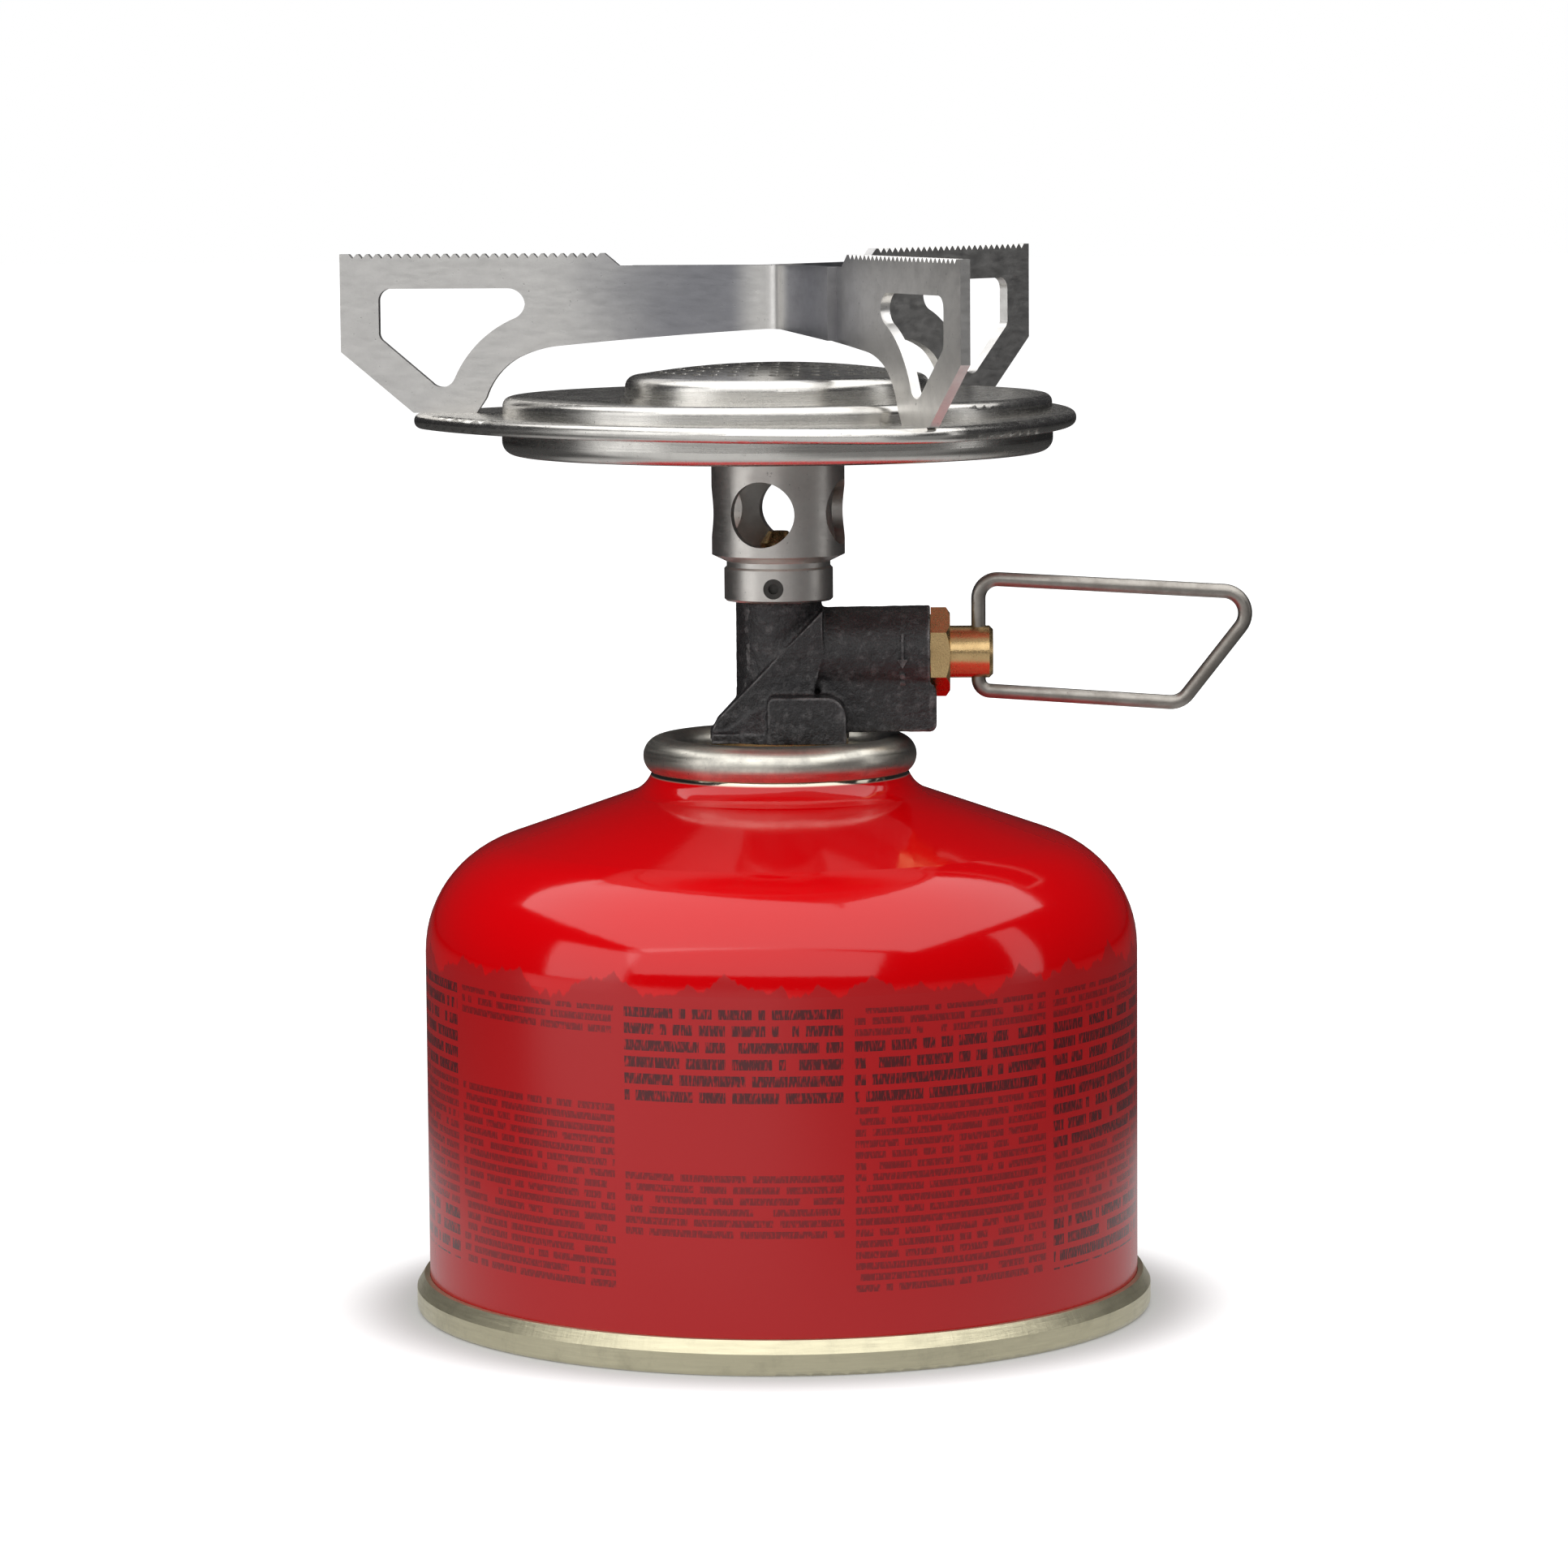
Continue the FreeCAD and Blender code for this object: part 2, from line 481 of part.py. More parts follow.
# ---------------------------------------------------------------- stove: valve body
def make_valve_body():
    """Black casting: inlet skirt, upright barrel, side barrel, gusset and web."""
    body = new_body("valve_body")
    turn_solid(body, [
        ("0", "skirt_bottom"),
        ("skirt_radius", "skirt_bottom"),
        ("skirt_radius", "skirt_top"),
        ("barrel_radius", "barrel_foot"),
        ("barrel_radius", "barrel_top"),
        ("spigot_radius", "barrel_top"),
        ("spigot_radius", "spigot_top"),
        ("0", "spigot_top"),
    ])
    gusset = draw(new_sketch(body, "XZ_Plane"), [
        ("-foot_reach", "skirt_bottom"),
        ("arm_start", "skirt_bottom"),
        ("gusset_top_reach", "spindle_height"),
        ("gusset_top_reach", "gusset_top"),
        ("-gusset_low_reach", "gusset_low"),
        ("-foot_reach", "foot_top"),
    ])
    pad(body, gusset, "gusset_front")
    lift = (0, number("spindle_height"), 0)
    turn_solid(body, [
        ("0", "0"),
        ("side_barrel_end", "0"),
        ("side_barrel_end", "side_barrel_radius"),
        ("0", "side_barrel_root"),
    ], axis="H_Axis", shift=lift)
    web = draw(new_sketch(body, "XZ_Plane"), [
        ("web_start", "web_bottom"),
        ("web_end - web_round", "web_bottom", "left", "web_round"),
        ("web_end", "web_bottom + web_round"),
        ("web_end", "spindle_height - nut_across_flats / 2"),
        ("side_barrel_end", "spindle_height"),
        ("arm_start", "spindle_height"),
    ])
    pad(body, web, "2 * web_half_width", both_sides=True)
    boss = draw(new_sketch(body, "XZ_Plane"), [
        ("-boss_left", "skirt_bottom"),
        ("boss_right", "skirt_bottom"),
        ("boss_right", "boss_height - boss_round", "left", "boss_round"),
        ("boss_right - boss_round", "boss_height"),
        ("-(boss_left - boss_left_round)", "boss_height", "left", "boss_left_round"),
        ("-boss_left", "boss_height - boss_left_round"),
    ])
    pad(body, boss, "boss_front")
    toe = draw(new_sketch(body, "XZ_Plane"), [
        ("-foot_reach", "skirt_bottom"),
        ("-(foot_reach - toe_width)", "skirt_bottom"),
        ("-(foot_reach - toe_width)", "toe_height"),
        ("-foot_reach", "toe_height"),
    ])
    pad(body, toe, "toe_front")
    turn_solid(body, [
        ("0", "skirt_bottom"),
        ("adapter_land + fit_gap", "skirt_bottom"),
        ("adapter_land + fit_gap", "adapter_land_top + fit_gap"),
        ("adapter_stub + fit_gap", "adapter_land_top + fit_gap"),
        ("adapter_stub + fit_gap", "plenum_top"),
        ("0", "plenum_top"),
    ], cut=True)
    turn_solid(body, [
        ("0", "spindle_height"),
        ("outlet_bore", "spindle_height"),
        ("outlet_bore", "barrel_top"),
        ("jet_socket", "barrel_top"),
        ("jet_socket", "spigot_top"),
        ("0", "spigot_top"),
    ], cut=True)
    turn_solid(body, [
        ("0", "0"),
        ("side_barrel_end", "0"),
        ("side_barrel_end", "nut_shank + fit_gap"),
        ("nut_bore_start", "nut_shank + fit_gap"),
        ("nut_bore_start", "collar_chamber"),
        ("thread_bore_end", "collar_chamber"),
        ("thread_bore_end", "spindle_thread + running_gap"),
        ("thread_bore_start", "spindle_thread + running_gap"),
        ("thread_bore_start", "needle_chamber"),
        ("needle_chamber_start", "needle_chamber"),
        ("needle_chamber_start", "seat_bore"),
        ("0", "seat_bore"),
    ], axis="H_Axis", shift=lift, cut=True)
    passage = draw_circle(new_sketch(body, "XY_Plane", (0, 0, number("spindle_height"))),
                          ("passage_offset", "0"), "passage_radius")
    pocket(body, passage, "spindle_height - plenum_top + fit_gap")
    clearance = draw_circle(new_sketch(body, "YZ_Plane", (0, 0, number("web_end"))),
                            ("0", "spindle_height"), "nut_across_flats * 0.62")
    pocket(body, clearance, "web_end - side_barrel_end")


def make_gland_nut():
    """Hexagonal brass nut that keeps the spindle in, seen across its flats."""
    body = new_body("gland_nut")
    body.Placement = FreeCAD.Placement(Vector(0, 0, number("spindle_height")),
                                       FreeCAD.Rotation())
    hexagon = new_sketch(body, "YZ_Plane", (0, 0, number("nut_start")))
    corner = "nut_across_flats / 2 / cos(30)"
    flat = "nut_across_flats / 2"
    draw(hexagon, [
        ("0", corner), (f"-{flat}", f"{corner} / 2"), (f"-{flat}", f"-{corner} / 2"),
        ("0", f"-{corner}"), (flat, f"-{corner} / 2"), (flat, f"{corner} / 2"),
    ])
    pad(body, hexagon, "nut_end - nut_start")
    turn_solid(body, [
        ("nut_shank_start", "0"),
        ("nut_start", "0"),
        ("nut_start", "nut_shank"),
        ("nut_shank_start", "nut_shank"),
    ], axis="H_Axis")
    turn_solid(body, [
        ("nut_shank_start", "0"),
        ("nut_end", "0"),
        ("nut_end", "spindle_radius + running_gap"),
        ("nut_shank_start", "spindle_radius + running_gap"),
    ], axis="H_Axis", cut=True)
    turn_solid(body, [
        ("nut_end - nut_chamfer", f"{corner} + nut_chamfer"),
        ("nut_end - nut_chamfer", corner),
        ("nut_end", flat),
        ("nut_end", f"{corner} + nut_chamfer"),
    ], axis="H_Axis", cut=True)


def make_spindle():
    """Brass spindle with needle, threaded part, stop collar, seal groove, cross hole."""
    body = new_body("valve_spindle")
    body.Placement = FreeCAD.Placement(Vector(0, 0, number("spindle_height")),
                                       FreeCAD.Rotation())
    turn_solid(body, [
        ("needle_start", "0"),
        ("needle_start", "needle_tip"),
        ("spindle_thread_start", "needle_base"),
        ("spindle_thread_start", "spindle_thread"),
        ("spindle_collar_start", "spindle_thread"),
        ("spindle_collar_start", "spindle_collar"),
        ("spindle_neck_start", "spindle_collar"),
        ("spindle_neck_start", "spindle_radius"),
        ("spindle_groove_start", "spindle_radius"),
        ("spindle_groove_start", "spindle_groove"),
        ("spindle_groove_end", "spindle_groove"),
        ("spindle_groove_end", "spindle_radius"),
        ("spindle_end - spindle_chamfer", "spindle_radius"),
        ("spindle_end", "spindle_radius - spindle_chamfer"),
        ("spindle_end", "0"),
    ], axis="H_Axis")
    hole = draw_circle(new_sketch(body, "XY_Plane"), ("handle_hole_place", "0"), "handle_hole")
    pocket(body, hole, "2 * (spindle_radius + spindle_chamfer)", both_sides=True)

    seal = document.addObject("Part::Torus", "spindle_seal_ring")
    seal.Label = "spindle_seal_ring"
    seal.setExpression("Radius1", size("spindle_seal_radius"))
    seal.setExpression("Radius2", size("spindle_seal_wire"))
    middle = (number("spindle_groove_start") + number("spindle_groove_end")) / 2
    seal.Placement = FreeCAD.Placement(Vector(middle, 0, number("spindle_height")),
                                       FreeCAD.Rotation(Vector(0, 1, 0), 90))
    sub_parts.append(seal)


def rounded_path(corners):
    """Straight runs joined by tangent arcs. A corner is (x, z, radius)."""
    places = [Vector(x, 0, z) for x, z, _ in corners]
    edges = []
    reached = places[0]
    for before, here, after, (_, _, radius) in zip(places, places[1:], places[2:],
                                                   corners[1:]):
        back = (before - here).normalize()
        ahead = (after - here).normalize()
        half = back.getAngle(ahead) / 2
        entry = here + back * (radius / math.tan(half))
        leave = here + ahead * (radius / math.tan(half))
        middle = (back + ahead).normalize() * (radius / math.sin(half) - radius)
        edges.append(Part.LineSegment(reached, entry).toShape())
        edges.append(Part.Arc(entry, here + middle, leave).toShape())
        reached = leave
    edges.append(Part.LineSegment(reached, places[-1]).toShape())
    return Part.Wire(edges)


def make_handle():
    """One bent wire whose two ends sit in the spindle's cross hole."""
    place = number("handle_hole_place")
    path = rounded_path([
        (place, number("wire_upper_stop"), 0),
        (place, number("wire_rise"), number("wire_rise_round")),
        (number("wire_far_reach"), number("wire_far_height"), number("wire_far_round")),
        (number("wire_low_reach"), number("wire_low_height"), number("wire_low_round")),
        (place, number("wire_drop"), number("wire_drop_round")),
        (place, number("wire_lower_stop"), 0),
    ])
    start = Vector(place, 0, number("wire_upper_stop"))
    section = Part.Wire(Part.makeCircle(number("wire_radius"), start, Vector(0, 0, 1)))
    set_shape("wire_handle", path.makePipeShell([section], True, False))


# ---------------------------------------------------------------- stove: jet and tube
def make_jet_and_tube():
    """Brass jet, the turned mixing tube around it and the tube's grub screw."""
    turned_part("jet", [
        ("jet_bore", "barrel_top + fit_gap"),
        ("jet_socket", "barrel_top + fit_gap"),
        ("jet_socket", "spigot_top"),
        ("jet_hex_radius", "spigot_top"),
        ("jet_hex_radius", "jet_hex_top"),
        ("jet_nose", "jet_hex_top"),
        ("jet_nose", "jet_cone_start"),
        ("jet_tip", "jet_top"),
        ("jet_orifice", "jet_top"),
        ("jet_orifice", "jet_bore_top"),
        ("jet_bore", "jet_bore_top - jet_bore"),
    ])
    tube = new_body("mixing_tube")
    turn_solid(tube, [
        ("spigot_radius + fit_gap", "collar_bottom"),
        ("collar_radius - collar_edge", "collar_bottom"),
        ("collar_radius", "collar_bottom + collar_edge"),
        ("collar_radius", "collar_top - collar_edge"),
        ("collar_radius - collar_edge", "collar_top"),
        ("tube_neck", "collar_top"),
        ("tube_neck", "tube_neck_top"),
        ("tube_radius", "tube_bottom"),
        ("tube_radius", "tube_top"),
        ("tube_spigot", "tube_top"),
        ("tube_spigot", "tube_spigot_top"),
        ("tube_spigot - pan_sheet", "tube_spigot_top"),
        ("tube_spigot - pan_sheet", "tube_top"),
        ("tube_bore", "tube_top - pan_sheet"),
        ("tube_bore", "tube_bore_bottom"),
        ("spigot_radius + fit_gap", "collar_bore_top"),
    ])
    hole = draw_circle(new_sketch(tube, "XZ_Plane"), ("0", "air_hole_height"), "air_hole")
    first = pocket(tube, hole, "tube_radius + air_hole", reverse=True)
    repeat_around(tube, first, 4)
    screw_hole = draw_circle(
        new_sketch(tube, "YZ_Plane", turn=number("grub_turn - air_hole_turn")),
        ("0", "grub_height"), "grub_radius + fit_gap / 2")
    pocket(tube, screw_hole, "collar_radius + grub_radius", reverse=True)
    tube.Placement = FreeCAD.Placement(
        Vector(), FreeCAD.Rotation(Vector(0, 0, 1), number("air_hole_turn")))

    screw = new_body("tube_grub_screw")
    face = number("collar_radius - grub_recess")
    disc = draw_circle(new_sketch(screw, "YZ_Plane", (0, 0, face)), ("0", "grub_height"),
                       "grub_radius")
    pad(screw, disc, "grub_length", reverse=True)
    socket = draw_circle(new_sketch(screw, "YZ_Plane", (0, 0, face)), ("0", "grub_height"),
                         "grub_socket")
    pocket(screw, socket, "grub_socket_depth")
    screw.Placement = FreeCAD.Placement(
        Vector(), FreeCAD.Rotation(Vector(0, 0, 1), number("grub_turn")))


# ---------------------------------------------------------------- stove: burner
def make_burner():
    """Pressed pan, flange plate, upper shell, perforated cap and flame screen."""
    turned_part("burner_pan", [
        ("tube_spigot + fit_gap", "pan_bottom"),
        ("pan_radius - pan_round", "pan_bottom", "left", "pan_round"),
        ("pan_radius", "pan_bottom + pan_round"),
        ("pan_radius", "pan_top"),
        ("pan_radius - pan_sheet", "pan_top"),
        ("pan_radius - pan_sheet", "pan_bottom + pan_round", "right", "pan_round - pan_sheet"),
        ("pan_radius - pan_round", "pan_bottom + pan_sheet"),
        ("tube_spigot + fit_gap", "pan_bottom + pan_sheet"),
    ])
    turned_part("burner_shell", [
        ("shell_radius - shell_sheet", "flange_top"),
        ("shell_radius", "flange_top"),
        ("shell_radius", "shell_top - shell_round", "left", "shell_round"),
        ("shell_radius - shell_round", "shell_top"),
        ("shell_rim", "shell_top"),
        ("shell_dish_radius", "shell_dish_height"),
        ("shell_bore", "shell_dish_height"),
        ("shell_bore", "shell_dish_height - shell_sheet"),
        ("shell_dish_radius", "shell_dish_height - shell_sheet"),
        ("shell_rim", "shell_top - shell_sheet"),
        ("shell_radius - shell_sheet", "shell_top - shell_round"),
    ])
    cap = turned_part("burner_cap", [
        ("cap_radius - cap_sheet", "shell_dish_height"),
        ("cap_foot_radius", "shell_dish_height"),
        ("cap_foot_radius", "cap_foot_top"),
        ("cap_radius", "cap_foot_top"),
        ("cap_radius", "cap_wall_top", "left", "cap_round"),
        ("cap_radius - cap_round", "cap_wall_top + cap_round", "left", "domed"),
        ("0", "cap_top"),
        ("0", "cap_top - cap_sheet", "right", "domed"),
        ("cap_radius - cap_round", "cap_wall_top + cap_round - cap_sheet",
         "right", "cap_round - cap_sheet"),
        ("cap_radius - cap_sheet", "cap_wall_top"),
    ])
    holes = new_sketch(cap, "XY_Plane", (0, 0, number("cap_top")))
    pitch = number("cap_hole_pitch")
    holes.addGeometry(Part.Circle(Vector(), Vector(0, 0, 1), number("cap_hole")))
    for ring_number in range(1, int(number("cap_hole_rings")) + 1):
        for step in range(6 * ring_number):
            angle = 2 * math.pi * (step + 0.5 * (ring_number % 2)) / (6 * ring_number)
            place = Vector(math.cos(angle), math.sin(angle), 0) * pitch * ring_number
            holes.addGeometry(Part.Circle(place, Vector(0, 0, 1), number("cap_hole")))
    pocket(cap, holes, "cap_top - cap_wall_top")
    turned_part("flame_screen", [
        ("0", "screen_height"),
        ("screen_radius", "screen_height"),
        ("screen_radius", "screen_height + screen_sheet"),
        ("0", "screen_height + screen_sheet"),
    ])
    make_flange()


def make_flange():
    """Rounded-triangle plate with a rolled edge and one lobe under each arm."""
    lobe = number("lobe_round")
    reach = number("lobe_reach") - lobe
    side = number("flange_side_reach")
    # centre distance of the long side arcs, which touch the lobe arcs inside
    back = (reach ** 2 - (side - lobe) ** 2) / (2 * (side - lobe) - reach)
    edges = []
    for lobe_azimuth in ARM_AZIMUTHS.values():
        middle = Vector(reach, 0, 0)
        joints = []
        for side_azimuth in (-60, 60):
            away = math.radians(side_azimuth)
            centre = Vector(-back * math.cos(away), -back * math.sin(away), 0)
            joints.append(middle + (middle - centre).normalize() * lobe)
        crown = Vector(number("lobe_reach"), 0, 0)
        half_side = Vector(math.cos(math.pi / 3), math.sin(math.pi / 3), 0) * side
        turned = FreeCAD.Rotation(Vector(0, 0, 1), lobe_azimuth)
        edges.append(Part.Arc(turned.multVec(joints[0]), turned.multVec(crown),
                              turned.multVec(joints[1])).toShape())
        next_joint = FreeCAD.Rotation(Vector(0, 0, 1), 120).multVec(joints[0])
        edges.append(Part.Arc(turned.multVec(joints[1]), turned.multVec(half_side),
                              turned.multVec(next_joint)).toShape())
    outline = Part.Wire(Part.__sortEdges__(edges))
    plate = Part.Face(outline).extrude(
        Vector(0, 0, number("flange_top - pan_top")))
    plate = plate.makeFillet(number("flange_edge"), [
        edge for edge in plate.Edges
        if abs(edge.Vertexes[0].Z - edge.Vertexes[-1].Z) < number("fit_gap")])
    plate.translate(Vector(0, 0, number("pan_top")))
    bore = Part.makeCylinder(number("flange_bore"), number("cap_top"))
    set_shape("burner_flange", plate.cut(bore))


def make_pot_support(name, azimuth):
    """Toothed strip arm. Near the middle it bends and lies along the next arm."""
    body = new_body("pot_support_" + name)
    bend_start = "(bend_inner + strip) * tan(30)"
    outline = new_sketch(body, "XZ_Plane")
    draw(outline, [
        (bend_start, "neck_under"),
        (bend_start, "neck_level"),
        ("ramp_start", "neck_level"),
        ("ramp_end", "arm_top"),
        ("arm_reach", "arm_top"),
        ("arm_reach", "arm_corner"),
        ("heel_reach", "flange_top"),
        ("toe_reach", "flange_top"),
        ("instep_reach", "instep_height", "left", "arch_round"),
        ("arch_reach", "arch_height", "left", "vault_round"),
        ("vault_reach", "vault_height", "left", "neck_curve"),
    ])
    draw(outline, [
        ("window_outer - window_outer_round", "window_top"),
        ("window_tip_reach + window_tip_round", "window_top", "left", "window_tip_round"),
        ("window_tip_reach", "window_tip_height", "left", "window_tip_round"),
        ("window_arch_reach", "window_arch_height", "right", "window_arch_round"),
        ("window_heel_reach", "window_heel_height", "left", "window_foot_round"),
        ("window_foot_reach", "window_foot_height"),
        ("window_knee_reach", "window_knee_low", "left", "window_knee_round"),
        ("window_outer", "window_knee_height"),
        ("window_outer", "window_top - window_outer_round", "left", "window_outer_round"),
    ])
    pad(body, outline, "strip", reverse=True)
    bend = draw(new_sketch(body, "XY_Plane", (0, 0, number("neck_under"))), [
        (bend_start, "0"),
        (bend_start, "strip", "right", "bend_inner"),
        (f"{bend_start} - bend_inner * cos(30)", "(bend_inner + strip) - bend_inner / 2"),
        (f"{bend_start} - (bend_inner + strip) * cos(30)", "(bend_inner + strip) / 2",
         "left", "bend_inner + strip"),
    ])
    pad(body, bend, "neck_level - neck_under")
    tab = draw(new_sketch(body, "XZ_Plane", turn=120), [
        (bend_start, "neck_under"),
        ("tab_reach", "tab_under"),
        ("tab_reach", "neck_level"),
        (bend_start, "neck_level"),
    ])
    pad(body, tab, "strip")
    notch = draw(new_sketch(body, "XZ_Plane"), [
        ("tooth_first", "arm_top - tooth_depth"),
        ("tooth_first + tooth_pitch / 2 - tooth_flat / 2", "arm_top"),
        ("tooth_first + tooth_pitch / 2 - tooth_flat / 2", "arm_top + tooth_depth"),
        ("tooth_first - tooth_pitch / 2 + tooth_flat / 2", "arm_top + tooth_depth"),
        ("tooth_first - tooth_pitch / 2 + tooth_flat / 2", "arm_top"),
    ])
    cut = pocket(body, notch, "4 * strip", both_sides=True)
    row = body.newObject("PartDesign::LinearPattern", body.Name + "_teeth")
    row.Originals = [cut]
    axis = [item for item in body.Origin.OriginFeatures if item.Role == "X_Axis"][0]
    row.Direction = (axis, [""])
    row.setExpression("Length", size("tooth_pitch * (tooth_count - 1)"))
    row.Occurrences = int(number("tooth_count"))
    body.Tip = row
    # the three bends stand round the axis as a small triangle, so each arm is set
    # past the centre and to one side, where its tab still lies on the next arm
    inset = number("hub_inset")
    turned = FreeCAD.Rotation(Vector(0, 0, 1), azimuth)
    body.Placement = FreeCAD.Placement(
        turned.multVec(Vector(-inset, inset * math.tan(math.pi / 6), 0)), turned)
    document.recompute()


# ---------------------------------------------------------------- build and write
make_canister()
make_mounting_cup()
make_canister_valve()
make_inlet()
make_valve_body()
make_gland_nut()
make_spindle()
make_handle()
make_jet_and_tube()
make_burner()
for arm_name, arm_azimuth in ARM_AZIMUTHS.items():
    make_pot_support(arm_name, arm_azimuth)
document.recompute()

for item in document.Objects:
    if "Invalid" in item.State or "Error" in item.State:
        raise RuntimeError(f"{item.Label} failed: {item.State}")
os.makedirs("parts", exist_ok=True)
for item in sub_parts:
    if item.Shape.isNull() or not item.Shape.isValid():
        raise RuntimeError(f"{item.Label} has no valid shape")
    item.Shape.exportStep(f"parts/{item.Label}.step")
    box = item.Shape.BoundBox
    print(f"{item.Label:20s} solids {len(item.Shape.Solids)} volume {item.Shape.Volume:9.1f}"
          f"  z {box.ZMin:7.2f} to {box.ZMax:7.2f}")
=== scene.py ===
"""Looks of a gas camping stove on its canister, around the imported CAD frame.

Everything is in metres in the CAD row frame: +Z up, origin under the canister's
centre, +X towards the valve spindle and its wire handle.
"""
import math

import bmesh
import bpy
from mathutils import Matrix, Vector
from mathutils.noise import noise as value_noise


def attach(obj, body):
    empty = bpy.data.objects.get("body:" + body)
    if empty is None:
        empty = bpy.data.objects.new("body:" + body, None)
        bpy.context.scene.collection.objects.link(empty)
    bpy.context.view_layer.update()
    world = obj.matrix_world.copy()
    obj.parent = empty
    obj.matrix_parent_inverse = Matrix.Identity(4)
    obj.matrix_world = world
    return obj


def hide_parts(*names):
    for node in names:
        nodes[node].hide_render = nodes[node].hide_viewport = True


PATTERN_RADIUS = 0.0433             # close to the side wall, for laying patterns round it
TURNING_BREAK_UP = 0.0006           # metres of noise per radian along turning marks
PRINT_FOOT, PRINT_TOP = 0.0092, 0.0425
PRINT_COLUMNS, PRINT_BLOCK = 10, 0.0078
BARE_NECK = 0.0650                  # above this the lacquer stops
AXIS_HEIGHT = 0.0798                # of the valve spindle and the side barrel
SIDE_RADIUS = 0.00562               # of the side barrel, just inside its skin at the marks
BORE_RADIUS, PASSAGE_RADIUS, SEAT_RADIUS = 0.0049, 0.0025, 0.0060
SEAT_TOP, BARREL_TOP, SKIRT_FOOT, SIDE_END = 0.0756, 0.0861, 0.06955, 0.0182
CAST_VOXEL, CAST_LUMP = 0.00020, 0.00007

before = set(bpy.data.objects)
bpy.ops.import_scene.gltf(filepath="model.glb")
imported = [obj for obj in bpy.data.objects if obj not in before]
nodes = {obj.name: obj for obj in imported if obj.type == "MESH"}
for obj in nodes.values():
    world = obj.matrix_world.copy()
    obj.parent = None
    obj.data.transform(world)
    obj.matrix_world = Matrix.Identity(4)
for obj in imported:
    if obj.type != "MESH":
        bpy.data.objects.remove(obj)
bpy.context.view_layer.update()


# ---------------------------------------------------------------- camera and studio
def look_at(item, target, roll=0.0):
    """Point an object's -Z axis at a target, then roll it about that axis."""
    direction = Vector(target) - item.location
    item.rotation_euler = direction.to_track_quat("-Z", "Y").to_euler()
    item.rotation_euler.rotate_axis("Z", roll)


def make_camera():
    """A long lens just above the pot supports, tilted slightly down."""
    data = bpy.data.cameras.new("camera")
    data.sensor_width = 36
    data.lens = 131.80
    camera = bpy.data.objects.new("camera", data)
    bpy.context.scene.collection.objects.link(camera)
    camera.location = (0.01817, -0.69454, 0.14207)
    look_at(camera, (0.00046, 0.0, 0.06372), roll=-0.0075)
    bpy.context.scene.camera = camera


def area_light(name, place, target, width, height, radiance):
    """A rectangular softbox with the given brightness of its own surface."""
    data = bpy.data.lights.new(name, "AREA")
    data.shape = "RECTANGLE"
    data.size = width
    data.size_y = height
    data.energy = radiance * math.pi * width * height
    light = bpy.data.objects.new(name, data)
    bpy.context.scene.collection.objects.link(light)
    light.location = place
    look_at(light, target)


def make_studio():
    """A dim room with a white backdrop, a large overhead box and side boxes."""
    scene = bpy.context.scene
    scene.view_settings.view_transform = "Standard"
    scene.view_settings.look = "None"
    world = bpy.data.worlds.new("studio")
    scene.world = world
    world.use_nodes = True
    tree = world.node_tree
    tree.nodes.clear()
    output = tree.nodes.new("ShaderNodeOutputWorld")
    mix = tree.nodes.new("ShaderNodeMixShader")
    path = tree.nodes.new("ShaderNodeLightPath")
    room = tree.nodes.new("ShaderNodeBackground")
    backdrop = tree.nodes.new("ShaderNodeBackground")
    room.inputs["Color"].default_value = (0.02, 0.02, 0.022, 1)
    backdrop.inputs["Color"].default_value = (1, 1, 1, 1)
    tree.links.new(path.outputs["Is Camera Ray"], mix.inputs["Fac"])
    tree.links.new(room.outputs["Background"], mix.inputs[1])
    tree.links.new(backdrop.outputs["Background"], mix.inputs[2])
    tree.links.new(mix.outputs["Shader"], output.inputs["Surface"])

    area_light("overhead_box", (0.05, -0.31, 1.0), (0.05, -0.31, 0.0), 2.6, 1.9, 1.8)
    area_light("front_high", (-0.20, -1.45, 0.72), (0, 0, 0.06), 2.6, 0.75, 1.30)
    area_light("left_box", (-1.3, -0.65, 0.40), (0, 0, 0.08), 0.8, 0.7, 1.5)
    area_light("right_box", (1.2, -0.10, 0.32), (0, 0, 0.08), 0.25, 0.8, 1.0)


def make_floor():
    """A pale floor that reaches the horizon."""
    mesh = bpy.data.meshes.new("floor")
    reach = 6.0
    mesh.from_pydata([(-reach, -reach, 0), (reach, -reach, 0), (reach, reach, 0),
                      (-reach, reach, 0)], [], [(0, 1, 2, 3)])
    floor = bpy.data.objects.new("floor", mesh)
    bpy.context.scene.collection.objects.link(floor)
    floor.data.materials.append(floor_material())


